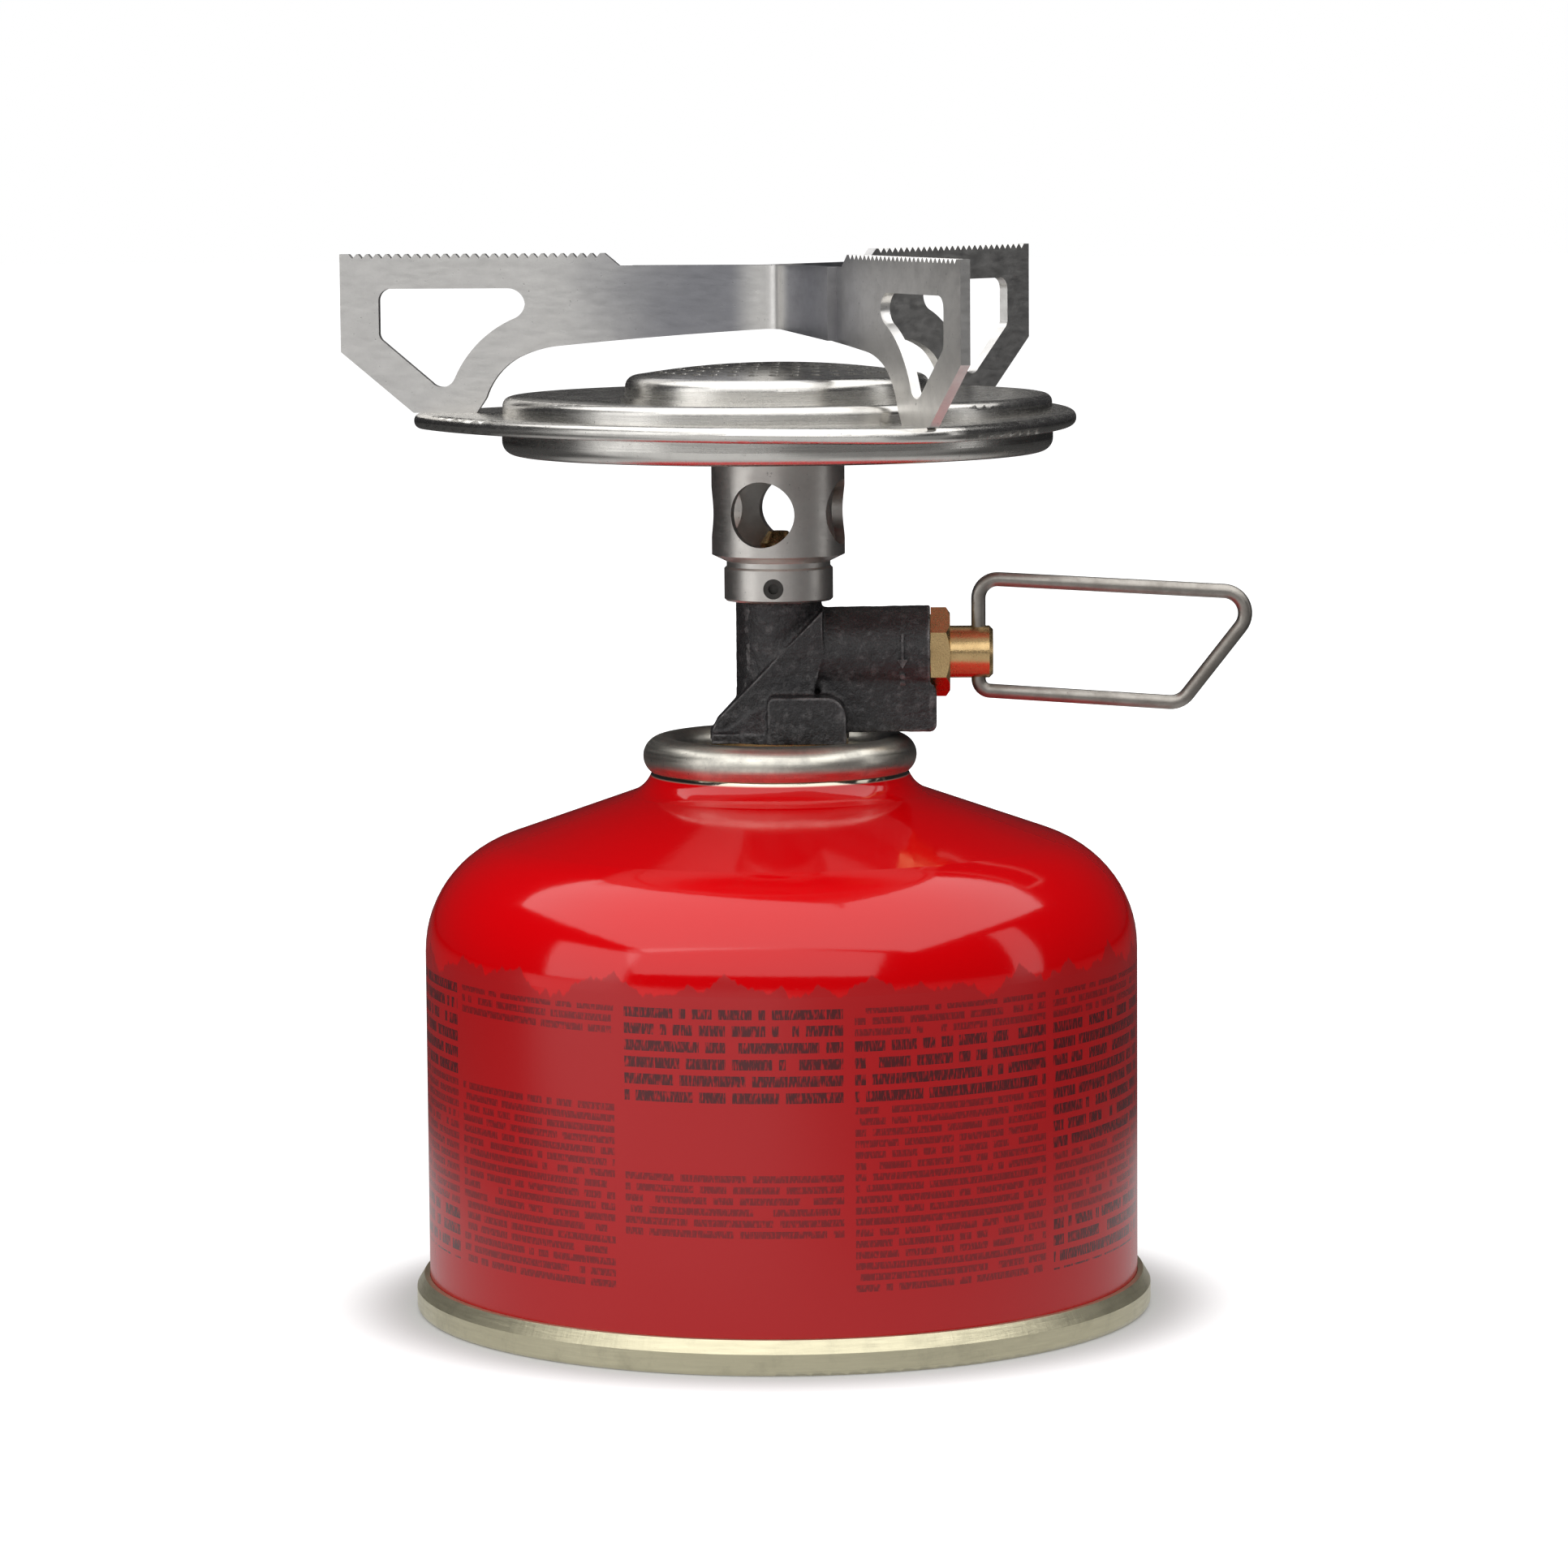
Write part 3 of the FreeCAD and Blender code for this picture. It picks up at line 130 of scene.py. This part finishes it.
def floor_material():
    """Pale paper whose glow is painted light, not a lamp, and differs for the camera
    and for other rays.

    The camera sees the glow rise to white with distance, which paints part of the dark
    ring under the canister as a painted shadow. The stove's reflections and bounced
    light see dark paper with a painted bright ring close by and a painted bright patch
    to the front left instead."""
    material, add, link, shader = new_material("floor_painted_light")
    shader.inputs["Roughness"].default_value = 0.9
    shader.inputs["Emission Color"].default_value = (1, 1, 1, 1)
    place = add_position(add)
    split = add("ShaderNodeSeparateXYZ")
    link(place, split.inputs[0])
    distance = math_node(add, link, "DISTANCE", place, (0, 0, 0))
    # Painted shadow: for the camera the glow drops close round the can, painting part of its
    # contact shadow, and rises further out until the floor reads white.
    painted_shadow_near_can = fade(add, link, distance, 0.044, 0.058, 0.06, 0.66)
    painted_glow_far_out = fade(add, link, distance, 0.10, 0.50, 0.0, 0.5)
    painted_glow_for_camera = math_node(add, link, "ADD", painted_shadow_near_can, painted_glow_far_out)
    # Painted light for the stove's reflections and bounce: a bright ring close round the can and a
    # bright patch to the front left.
    ring = fade(add, link, distance, 0.09, 0.17, 0.50, 0.0)
    front = fade(add, link, split.outputs["Y"], -0.10, -0.02, 1.0, 0.0)
    left = fade(add, link, split.outputs["X"], -0.03, 0.10, 0.62, 0.17)
    side = fade(add, link, math_node(add, link, "ARCTAN2", split.outputs["X"],
                                     math_node(add, link, "MULTIPLY", split.outputs["Y"], -1.0)),
                -1.75, -1.40, 0.05, 1.0)
    painted_reflection_patch = math_node(add, link, "MULTIPLY", math_node(add, link, "MULTIPLY", front, left), side)
    painted_light_for_stove = math_node(add, link, "MAXIMUM", ring, painted_reflection_patch)
    seen = add("ShaderNodeLightPath").outputs["Is Camera Ray"]
    glow = add("ShaderNodeMix")
    link(seen, glow.inputs["Factor"])
    link(painted_light_for_stove, glow.inputs["A"])
    link(painted_glow_for_camera, glow.inputs["B"])
    link(glow.outputs["Result"], shader.inputs["Emission Strength"])
    # The paper is dark for every ray but the camera's: painted shade in what the stove reflects and
    # in its bounced light.
    paper = mixed(add, link, seen, (0.03, 0.03, 0.03), (0.50, 0.50, 0.50))
    link(paper, shader.inputs["Base Color"])
    return material


# ---------------------------------------------------------------- node helpers
def new_material(name):
    """A principled material with short helpers for adding and linking nodes."""
    material = bpy.data.materials.new(name)
    material.use_nodes = True
    tree = material.node_tree

    def link(source, target):
        tree.links.new(source, target)

    return material, tree.nodes.new, link, tree.nodes["Principled BSDF"]


def add_position(add):
    """The surface point, in metres, that every pattern is laid out in."""
    return add("ShaderNodeTexCoord").outputs["Object"]


def vector_maths(add, link, operation, *values):
    node = add("ShaderNodeVectorMath")
    node.operation = operation
    for socket, value in zip(node.inputs, values):
        put(link, socket, value)
    return node


def math_node(add, link, operation, *values):
    """One scalar result from a vector or scalar operation."""
    if operation in ("DISTANCE", "LENGTH", "DOT_PRODUCT"):
        return vector_maths(add, link, operation, *values).outputs["Value"]
    node = add("ShaderNodeMath")
    node.operation = operation
    for socket, value in zip(node.inputs, values):
        put(link, socket, value)
    return node.outputs[0]


def put(link, socket, value):
    """Link an output, or set a plain value."""
    if isinstance(value, bpy.types.NodeSocket):
        link(value, socket)
    else:
        socket.default_value = value


def scaled(add, link, value, low, high):
    """0 at low, 1 at high, clamped."""
    node = add("ShaderNodeMapRange")
    put(link, node.inputs["Value"], value)
    node.inputs["From Min"].default_value = low
    node.inputs["From Max"].default_value = high
    return node.outputs["Result"]


def fade(add, link, value, low, high, at_low, at_high):
    """A smooth change from one number to another between two values."""
    node = add("ShaderNodeMapRange")
    node.interpolation_type = "SMOOTHSTEP"
    put(link, node.inputs["Value"], value)
    for socket, number in (("From Min", low), ("From Max", high),
                           ("To Min", at_low), ("To Max", at_high)):
        node.inputs[socket].default_value = number
    return node.outputs["Result"]


def ramp(add, link, value, stops):
    """A colour ramp through (place, colour) stops."""
    node = add("ShaderNodeValToRGB")
    elements = node.color_ramp.elements
    while len(elements) < len(stops):
        elements.new(0.5)
    for element, (place, colour) in zip(elements, stops):
        element.position = place
        element.color = (*colour, 1)
    put(link, node.inputs["Fac"], value)
    return node.outputs["Color"]


def patches(add, link, value, low, high):
    """Black below low, white above high."""
    return ramp(add, link, value, [(low, (0, 0, 0)), (high, (1, 1, 1))])


def set_roughness(add, link, shader, value, smoothest, roughest):
    """Spread a 0 to 1 value over a range of roughness."""
    node = add("ShaderNodeMapRange")
    link(value, node.inputs["Value"])
    node.inputs["To Min"].default_value = smoothest
    node.inputs["To Max"].default_value = roughest
    link(node.outputs["Result"], shader.inputs["Roughness"])
    return node


def noise(add, link, place, scale, detail=3, rough=0.55, stretch=None):
    """Noise in metres: scale is features per metre."""
    if stretch:
        place = vector_maths(add, link, "MULTIPLY", place, stretch).outputs["Vector"]
    node = add("ShaderNodeTexNoise")
    link(place, node.inputs["Vector"])
    node.inputs["Scale"].default_value = scale
    node.inputs["Detail"].default_value = detail
    node.inputs["Roughness"].default_value = rough
    return node.outputs["Fac"]


def mixed(add, link, amount, first, second):
    """Two colours mixed by an amount."""
    node = add("ShaderNodeMix")
    node.data_type = "RGBA"
    sockets = {s.identifier: s for s in node.inputs}
    put(link, sockets["Factor_Float"], amount)
    for socket, value in ((sockets["A_Color"], first), (sockets["B_Color"], second)):
        put(link, socket, value if isinstance(value, bpy.types.NodeSocket) else (*value, 1))
    return next(s for s in node.outputs if s.identifier == "Result_Color")


def bump(add, link, height, depth):
    """A bump of the given depth in metres."""
    node = add("ShaderNodeBump")
    node.inputs["Strength"].default_value = 1.0
    node.inputs["Distance"].default_value = depth
    link(height, node.inputs["Height"])
    return node.outputs["Normal"]


def around_axis(add, link, place):
    """(angle in radians, radius, height) of a point about the vertical axis."""
    split = add("ShaderNodeSeparateXYZ")
    link(place, split.inputs[0])
    angle = math_node(add, link, "ARCTAN2", split.outputs["Y"], split.outputs["X"])
    flat = add("ShaderNodeCombineXYZ")
    link(split.outputs["X"], flat.inputs[0])
    link(split.outputs["Y"], flat.inputs[1])
    radius = math_node(add, link, "LENGTH", flat.outputs[0])
    return angle, radius, split.outputs["Z"]


def turned_place(add, link, place):
    """Coordinates in which turning marks run round the axis: (radius, height) only,
    with a trace of the angle so that the marks break up."""
    angle, radius, height = around_axis(add, link, place)
    node = add("ShaderNodeCombineXYZ")
    put(link, node.inputs[0], radius)
    put(link, node.inputs[1], height)
    put(link, node.inputs[2], math_node(add, link, "MULTIPLY", angle, TURNING_BREAK_UP))
    return node.outputs[0]


def worn_metal(name, colour, dark, roughness, marks, *, turned=False, brushed=None,
               spots=0.35, depth=0.00001, colour_toward_axis=None):
    """Bare metal with turning or brushing marks, clouding, smudges and small pits."""
    material, add, link, shader = new_material(name)
    place = add_position(add)
    lay = turned_place(add, link, place) if turned else place
    clouds = noise(add, link, place, 180, 4)
    grain = noise(add, link, lay, marks, 3, 0.6, brushed)
    smudge = patches(add, link, noise(add, link, place, 420, 5, 0.65), 0.42, 0.66)
    pits = patches(add, link, noise(add, link, place, 2300, 2), 0.69, 0.76)
    base = mixed(add, link, clouds, colour, [c * 0.92 for c in colour])
    # Optionally the colour shifts to another, darker one nearer the axis, over an uneven radius,
    # but not within a few millimetres of the axis.
    if colour_toward_axis:
        inner, reach, share = colour_toward_axis
        angle, radius, height = around_axis(add, link, place)
        uneven = math_node(add, link, "ADD", radius,
                           math_node(add, link, "MULTIPLY", noise(add, link, place, 90, 3), 0.012))
        shift_toward_axis = math_node(add, link, "MULTIPLY",
                         fade(add, link, uneven, reach * 0.45, reach, share, 0.0),
                         fade(add, link, radius, 0.0022, 0.0060, 0.0, 1.0))
        base = mixed(add, link, shift_toward_axis, base, inner)
    base = mixed(add, link, math_node(add, link, "MULTIPLY", smudge, spots), base, dark)
    base = mixed(add, link, math_node(add, link, "MULTIPLY", pits, 0.6), base, dark)
    link(base, shader.inputs["Base Color"])
    shader.inputs["Metallic"].default_value = 1.0
    marked = math_node(add, link, "ADD", grain, math_node(add, link, "MULTIPLY", smudge, 0.25))
    rough = set_roughness(add, link, shader, marked, roughness * 0.85, roughness * 1.5)
    rough.inputs["From Min"].default_value = 0.3
    rough.inputs["From Max"].default_value = 1.2
    height = math_node(add, link, "SUBTRACT", grain, math_node(add, link, "MULTIPLY", pits, 0.8))
    link(bump(add, link, height, depth), shader.inputs["Normal"])
    return material


def assign(names, material):
    """Give CAD nodes one material."""
    for name in names:
        mesh = nodes[name].data
        mesh.materials.clear()
        mesh.materials.append(material)


# ---------------------------------------------------------------- materials
def print_mask(add, link, place, angle, height):
    """Greeked print: rows of dashes in columns round the can, with some heavier
    heading rows. Returns how much ink lies at each point."""
    def chance(first, second, seed):
        spot = add("ShaderNodeCombineXYZ")
        link(first, spot.inputs[0])
        link(second, spot.inputs[1])
        spot.inputs[2].default_value = seed
        toss = add("ShaderNodeTexWhiteNoise")
        toss.noise_dimensions = "3D"
        link(spot.outputs[0], toss.inputs["Vector"])
        return toss.outputs["Value"]

    turn = math_node(add, link, "MULTIPLY", angle, PRINT_COLUMNS / (2 * math.pi))
    column = math_node(add, link, "ADD", turn, 0.2)
    column_number = math_node(add, link, "FLOOR", column)
    in_column = math_node(add, link, "GREATER_THAN", math_node(add, link, "FRACT", column), 0.05)
    blocks = math_node(add, link, "DIVIDE", height, PRINT_BLOCK)
    block = math_node(add, link, "FLOOR", blocks)
    heading = math_node(add, link, "GREATER_THAN", chance(column_number, block, 3.0), 0.70)
    blank = math_node(add, link, "GREATER_THAN", chance(column_number, block, 8.0), 0.06)
    rows_in_block = math_node(add, link, "SUBTRACT", 6.0,
                              math_node(add, link, "MULTIPLY", heading, 2.0))
    row = math_node(add, link, "MULTIPLY", blocks, rows_in_block)
    row_number = math_node(add, link, "FLOOR", row)
    in_row = math_node(add, link, "FRACT", row)
    cell = math_node(add, link, "FLOOR", math_node(add, link, "MULTIPLY", angle, 56.0))
    dash = math_node(add, link, "GREATER_THAN", chance(cell, row_number, 1.0), 0.15)
    tall = math_node(add, link, "GREATER_THAN", in_row, 0.20)
    low = math_node(add, link, "LESS_THAN", in_row, 0.84)
    fine = add("ShaderNodeCombineXYZ")
    link(math_node(add, link, "MULTIPLY", angle, 190.0), fine.inputs[0])
    link(math_node(add, link, "MULTIPLY", row, 1.6), fine.inputs[1])
    strokes = scaled(add, link, noise(add, link, fine.outputs[0], 1.0, 1), 0.30, 0.52)
    inside = math_node(add, link, "MULTIPLY",
                       math_node(add, link, "GREATER_THAN", height, PRINT_FOOT),
                       math_node(add, link, "LESS_THAN", height, PRINT_TOP))
    ink = math_node(add, link, "ADD", 0.60, math_node(add, link, "MULTIPLY", heading, 0.28))
    for factor in (tall, low, dash, strokes, in_column, blank, inside):
        ink = math_node(add, link, "MULTIPLY", ink, factor)
    return ink


def red_enamel():
    """Glossy red lacquer over tin: darker printed band with a ragged top edge,
    rows of greeked print, orange peel and a line of bare tin at the neck."""
    material, add, link, shader = new_material("red_enamel")
    place = add_position(add)
    angle, radius, height = around_axis(add, link, place)
    red, dark_red, ink = (0.70, 0.0, 0.002), (0.46, 0.006, 0.008), (0.035, 0.008, 0.010)
    edge_place = add("ShaderNodeCombineXYZ")
    link(math_node(add, link, "MULTIPLY", angle, PATTERN_RADIUS), edge_place.inputs[0])
    ragged = noise(add, link, edge_place.outputs[0], 130, 4, 0.6)
    edge = math_node(add, link, "ADD", height, math_node(add, link, "MULTIPLY", ragged, -0.014))
    band = scaled(add, link, edge, 0.0379, 0.0376)
    base = mixed(add, link, band, red, dark_red)
    cloud = noise(add, link, place, 60, 2)
    base = mixed(add, link, math_node(add, link, "MULTIPLY", cloud, 0.12), base, (0.5, 0.0, 0.002))
    base = mixed(add, link, print_mask(add, link, place, angle, height), base, ink)
    bare = scaled(add, link, height, BARE_NECK, BARE_NECK + 0.0002)
    base = mixed(add, link, bare, base, (0.62, 0.56, 0.46))
    link(base, shader.inputs["Base Color"])
    link(bare, shader.inputs["Metallic"])
    peel = noise(add, link, place, 900, 2)
    dust = patches(add, link, noise(add, link, place, 3200, 1), 0.74, 0.79)
    haze = math_node(add, link, "ADD", band, math_node(add, link, "MULTIPLY", cloud, 0.3))
    set_roughness(add, link, shader, haze, 0.07, 0.26)
    shader.inputs["Coat Weight"].default_value = 0.12
    shader.inputs["Coat Roughness"].default_value = 0.05
    height_map = math_node(add, link, "ADD", peel, math_node(add, link, "MULTIPLY", dust, 0.5))
    link(bump(add, link, height_map, 0.000006), shader.inputs["Normal"])
    return material


def gold_tin(name, colour, roughness):
    """Lacquered tinplate with fine vertical wrinkles from the seaming roll."""
    material, add, link, shader = new_material(name)
    place = add_position(add)
    angle, radius, height = around_axis(add, link, place)
    lay = add("ShaderNodeCombineXYZ")
    link(math_node(add, link, "MULTIPLY", angle, 0.045), lay.inputs[0])
    link(math_node(add, link, "MULTIPLY", height, 0.18), lay.inputs[1])
    wrinkles = noise(add, link, lay.outputs[0], 1500, 3, 0.6)
    round_lay = add("ShaderNodeCombineXYZ")
    link(math_node(add, link, "MULTIPLY", angle, 0.0035), round_lay.inputs[0])
    link(height, round_lay.inputs[1])
    link(radius, round_lay.inputs[2])
    rubs = noise(add, link, round_lay.outputs[0], 2600, 3, 0.6)
    stains = patches(add, link, noise(add, link, place, 260, 5, 0.7), 0.5, 0.72)
    base = mixed(add, link, rubs, colour, [c * 0.78 for c in colour])
    stained = math_node(add, link, "MULTIPLY", stains, 0.35)
    base = mixed(add, link, stained, base, [c * 0.45 for c in colour])
    link(base, shader.inputs["Base Color"])
    shader.inputs["Metallic"].default_value = 0.85
    set_roughness(add, link, shader, rubs, roughness * 0.7, roughness * 1.4)
    relief = math_node(add, link, "ADD", math_node(add, link, "MULTIPLY", wrinkles, 1.2), rubs)
    link(bump(add, link, relief, 0.00003), shader.inputs["Normal"])
    return material


def cast_black(name="cast_black", rub=0.50):
    """Blackened rough casting with rubbed, lighter high spots."""
    material, add, link, shader = new_material(name)
    place = add_position(add)
    coarse = noise(add, link, place, 520, 5, 0.6)
    grit = noise(add, link, place, 2600, 4, 0.7)
    rubbed = patches(add, link, noise(add, link, place, 850, 5, 0.72), 0.52, 0.72)
    base = mixed(add, link, coarse, (0.012, 0.011, 0.012), (0.034, 0.031, 0.032))
    pointiness = add("ShaderNodeNewGeometry").outputs["Pointiness"]
    edges = fade(add, link, pointiness, 0.505, 0.535, 0.0, 1.0)
    worn = math_node(add, link, "MAXIMUM", math_node(add, link, "MULTIPLY", rubbed, rub),
                     math_node(add, link, "MULTIPLY", edges, scaled(add, link, coarse, 0.35, 0.65)))
    base = mixed(add, link, worn, base, (0.20, 0.19, 0.19))
    link(base, shader.inputs["Base Color"])
    link(math_node(add, link, "MULTIPLY", worn, 0.4), shader.inputs["Metallic"])
    set_roughness(add, link, shader, grit, 0.17, 0.40)
    relief = math_node(add, link, "ADD", coarse, math_node(add, link, "MULTIPLY", grit, 0.35))
    link(bump(add, link, relief, 0.00030), shader.inputs["Normal"])
    return material


def rubber(name):
    """Black rubber with a faint bloom."""
    material, add, link, shader = new_material(name)
    place = add_position(add)
    bloom = noise(add, link, place, 800, 4, 0.6)
    base = mixed(add, link, bloom, (0.012, 0.012, 0.012), (0.05, 0.05, 0.048))
    link(base, shader.inputs["Base Color"])
    shader.inputs["Roughness"].default_value = 0.55
    link(bump(add, link, bloom, 0.00002), shader.inputs["Normal"])
    return material


def acetal(name):
    """Off-white moulded plastic."""
    material, add, link, shader = new_material(name)
    place = add_position(add)
    flow = noise(add, link, place, 350, 3)
    base = mixed(add, link, flow, (0.72, 0.71, 0.66), (0.62, 0.61, 0.56))
    link(base, shader.inputs["Base Color"])
    shader.inputs["Roughness"].default_value = 0.4
    link(bump(add, link, flow, 0.00001), shader.inputs["Normal"])
    return material


# ---------------------------------------------------------------- detail pieces
def machined(place):
    """Whether a point of the casting is on a bore or a turned seat."""
    from_side_axis = math.hypot(place.y, place.z - AXIS_HEIGHT)
    from_axis = math.hypot(place.x, place.y)
    return (place.x > 0 and from_side_axis < BORE_RADIUS or from_axis < PASSAGE_RADIUS
            or from_axis < SEAT_RADIUS and place.z < SEAT_TOP or place.z > BARREL_TOP
            or place.z < SKIRT_FOOT or place.x > SIDE_END)


def cast_body():
    """The casting with softened edges and a lumpy skin, from the CAD body."""
    source = nodes["valve_body"]
    body = bpy.data.objects.new("cast_valve_body", source.data.copy())
    bpy.context.scene.collection.objects.link(body)
    remesh = body.modifiers.new("remesh", "REMESH")
    remesh.mode = "VOXEL"
    remesh.voxel_size = CAST_VOXEL
    smooth = body.modifiers.new("smooth", "SMOOTH")
    smooth.factor = 0.5
    smooth.iterations = 5
    graph = bpy.context.evaluated_depsgraph_get()
    mesh = bpy.data.meshes.new_from_object(body.evaluated_get(graph))
    body.modifiers.clear()
    body.data = mesh
    normals = [vertex.normal.copy() for vertex in mesh.vertices]
    for vertex, normal in zip(mesh.vertices, normals):
        if machined(vertex.co):
            continue
        lump = 0.5 + 0.5 * value_noise(vertex.co * 700) + 0.3 * value_noise(vertex.co * 1900)
        vertex.co -= normal * CAST_LUMP * max(lump, 0.0)
    for polygon in mesh.polygons:
        polygon.use_smooth = True
    body.data.materials.clear()
    body.data.materials.append(cast_black())
    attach(body, "stove")
    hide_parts("valve_body")


def raised_mark(name, outline, material, lift=0.00035):
    """A flat outline wrapped on the side barrel's front and raised from it.
    Outline points are (along the barrel, up round the barrel)."""
    build = bmesh.new()
    rings = []
    for radius in (SIDE_RADIUS - 0.0002, SIDE_RADIUS + lift):
        ring = []
        for along, up in outline:
            turn = up / SIDE_RADIUS
            ring.append(build.verts.new((along, -radius * math.cos(turn),
                                         AXIS_HEIGHT + radius * math.sin(turn))))
        rings.append(ring)
    build.faces.new(rings[1])
    build.faces.new(list(reversed(rings[0])))
    for i in range(len(outline)):
        j = (i + 1) % len(outline)
        build.faces.new((rings[0][i], rings[0][j], rings[1][j], rings[1][i]))
    bmesh.ops.recalc_face_normals(build, faces=build.faces)
    mesh = bpy.data.meshes.new(name)
    build.to_mesh(mesh)
    build.free()
    mark = bpy.data.objects.new(name, mesh)
    bpy.context.scene.collection.objects.link(mark)
    mark.data.materials.append(material)
    bevel = mark.modifiers.new("bevel", "BEVEL")
    bevel.width = 0.00006
    bevel.segments = 2
    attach(mark, "stove")


def make_marks():
    """A plain turning arrow and two dots cast on the side barrel."""
    black = cast_black("cast_marks", 1.0)
    middle, half, dot = 0.0150, 0.00016, 0.00038
    steps = [0.0026 - 0.0031 * i / 8 for i in range(9)]
    raised_mark("arrow_shaft", [(middle - half, up) for up in steps]
                + [(middle + half, up) for up in reversed(steps)], black)
    raised_mark("arrow_head", [(middle - 0.0007, -0.0004), (middle, -0.0015),
                               (middle + 0.0007, -0.0004)], black)
    for number, up in enumerate((-0.0025, -0.0036)):
        raised_mark(f"arrow_dot_{number}", [
            (middle + dot * math.cos(math.pi * k / 5), up + dot * math.sin(math.pi * k / 5))
            for k in range(10)], black)


make_camera()
make_studio()
make_floor()

DARK_STEEL = (0.16, 0.155, 0.16)
burner_steel = worn_metal("burner_steel", (0.75, 0.73, 0.69), DARK_STEEL, 0.25, 5200,
                          turned=True, spots=0.10)
strip_steel = worn_metal("strip_steel", (0.80, 0.785, 0.76), DARK_STEEL, 0.34, 1500,
                         brushed=(0.25, 0.25, 1.0), spots=0.14, depth=0.000012,
                         colour_toward_axis=((0.20, 0.205, 0.24), 0.036, 0.80))
turned_steel = worn_metal("turned_steel", (0.76, 0.73, 0.69), DARK_STEEL, 0.34, 6500,
                          turned=True, spots=0.14)
wire_steel = worn_metal("wire_steel", (0.41, 0.385, 0.35), (0.14, 0.12, 0.10), 0.38, 2600)
brass = worn_metal("brass", (0.80, 0.56, 0.27), (0.25, 0.13, 0.05), 0.24, 5200, spots=0.22)
dark_steel = worn_metal("screw_steel", (0.09, 0.085, 0.08), (0.02, 0.02, 0.02), 0.35, 3000)

assign(["canister_shell"], red_enamel())
assign(["canister_end", "canister_seam"], gold_tin("gold_tin", (0.72, 0.67, 0.47), 0.34))
assign(["mounting_cup"], worn_metal("cup_tin", (0.80, 0.77, 0.68), DARK_STEEL, 0.33, 3200,
                                    turned=True))
assign(["cup_gasket", "stem_gasket", "inlet_seal_ring", "spindle_seal_ring"], rubber("seal_rubber"))
assign(["valve_housing"], acetal("valve_plastic"))
cast_body()
make_marks()
assign(["canister_poppet", "inlet_adapter", "inlet_pin", "gland_nut", "valve_spindle", "jet"],
       brass)
assign(["inlet_filter"], worn_metal("filter_bronze", (0.45, 0.30, 0.15), (0.10, 0.06, 0.03),
                                    0.6, 3000))
assign(["valve_spring"], wire_steel)
assign(["mixing_tube"], turned_steel)
assign(["tube_grub_screw"], dark_steel)
assign(["burner_pan", "burner_flange", "burner_shell", "burner_cap", "flame_screen"], burner_steel)
assign(["pot_support_left", "pot_support_front", "pot_support_rear"], strip_steel)
assign(["wire_handle"], wire_steel)
